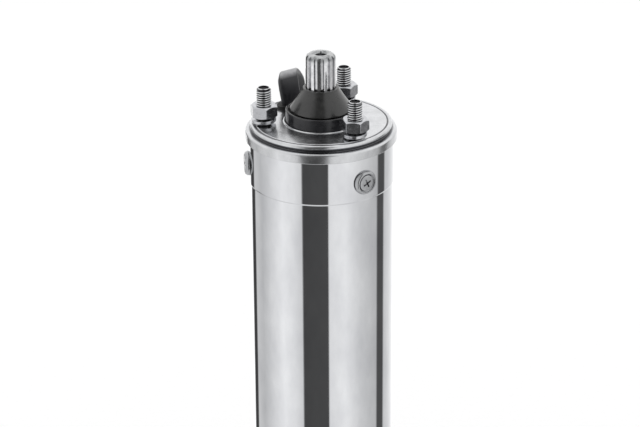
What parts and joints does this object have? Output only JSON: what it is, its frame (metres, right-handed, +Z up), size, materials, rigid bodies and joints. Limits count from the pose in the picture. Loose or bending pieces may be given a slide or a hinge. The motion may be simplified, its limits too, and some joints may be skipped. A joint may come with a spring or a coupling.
{
  "type": "borehole submersible pump motor",
  "caption": "Slim stainless-cased submersible motor for a borehole pump, with a splined shaft, mounting studs, a sand slinger and a flat power lead coiled beside it.",
  "frame": {"origin": "centre of the flat foot face, on the surface that the motor stands on", "axes": "+Z up the shaft's axis towards the splined end; +X towards the middle of the gap between two studs, +Y right-handed; the studs stand at 60, 180 and 300 degrees from +X and the power lead leaves at 120 degrees"},
  "size_m": [0.156, 0.2373, 0.3974],
  "materials": {
    "bearing_steel": "ground and polished",
    "black_plastic": "moulded, glossy",
    "black_rubber": "moulded rubber, satin",
    "bright_fastener": "stainless fastener",
    "carbon_ring": "lapped carbon",
    "cast_aluminium": "die-cast",
    "cast_bell": "machined casting",
    "ceramic_ring": "lapped ceramic",
    "copper_winding": "varnished copper",
    "core_insulation": "cable cores, one of them earth",
    "ferrule_metal": "tinned copper",
    "lamination": "stacked electrical sheet",
    "lead_jacket": "flat cable jacket, satin",
    "pressed_steel": "pressed sheet",
    "shaft_steel": "ground stainless",
    "spring_steel": "spring wire",
    "stainless_cover": "deep-drawn stainless, satin",
    "stainless_tube": "drawn stainless, satin"
  },
  "bodies": {
    "motor_housing": {"top_cover": "stainless_cover", "upper_end_bell": "cast_bell", "motor_tube": "stainless_tube", "pump_studs": "bright_fastener", "stud_nuts": "bright_fastener", "stud_spring_washers": "bright_fastener", "upper_screws": "bright_fastener", "upper_cup_washers": "pressed_steel", "lower_screws": "bright_fastener", "lower_cup_washers": "pressed_steel", "upper_o_ring": "black_rubber", "lower_o_ring": "black_rubber", "seal_housing": "black_plastic", "lip_seal": "black_rubber", "seal_seat": "ceramic_ring", "preload_washer": "spring_steel", "upper_bearing_outer_ring": "bearing_steel", "stator_core": "lamination", "stator_winding": "copper_winding", "inner_leads": "core_insulation", "lead_gland": "black_rubber", "lower_end_bell": "cast_bell", "lower_bearing_outer_ring": "bearing_steel", "bearing_circlip": "spring_steel", "foot_cover": "stainless_cover", "foot_screws": "bright_fastener", "diaphragm": "black_rubber", "diaphragm_spring": "spring_steel", "lead_tube": "lead_jacket", "lead_coil": "lead_jacket", "lead_cores": "core_insulation", "core_ferrules": "ferrule_metal"},
    "rotor": {"motor_shaft": "shaft_steel", "sand_slinger": "black_rubber", "seal_face": "carbon_ring", "seal_spring": "spring_steel", "seal_collar": "pressed_steel", "upper_bearing_inner_ring": "bearing_steel", "lower_bearing_inner_ring": "bearing_steel", "shaft_circlips": "spring_steel", "rotor_core": "lamination", "rotor_cage": "cast_aluminium"},
    "upper_ball_set": {"upper_bearing_cage": "pressed_steel", "upper_bearing_balls": "bearing_steel"},
    "lower_ball_set": {"lower_bearing_cage": "pressed_steel", "lower_bearing_balls": "bearing_steel"},
    "diaphragm_piston": {"diaphragm_plate": "pressed_steel"}
  },
  "joints": [
    {"name": "rotor_spin", "type": "hinge", "parent": "motor_housing", "child": "rotor", "pos_m": [0, 0, 0.36], "axis": [0, 0, 1], "continuous": true},
    {"name": "upper_balls_roll", "type": "hinge", "parent": "motor_housing", "child": "upper_ball_set", "pos_m": [0, 0, 0.321], "axis": [0, 0, 1], "continuous": true},
    {"name": "lower_balls_roll", "type": "hinge", "parent": "motor_housing", "child": "lower_ball_set", "pos_m": [0, 0, 0.082], "axis": [0, 0, 1], "continuous": true},
    {"name": "diaphragm_breathe", "type": "slide", "parent": "motor_housing", "child": "diaphragm_piston", "axis": [0, 0, 1], "range_m": [-0.003, 0.003], "stiffness_N_per_m": 1500, "springref_m": 0.0001, "deforming": ["diaphragm", "diaphragm_spring"]}
  ],
  "couplings": [
    {"joint": "upper_balls_roll", "follows": "rotor_spin", "ratio": 0.3816},
    {"joint": "lower_balls_roll", "follows": "rotor_spin", "ratio": 0.3815}
  ]
}
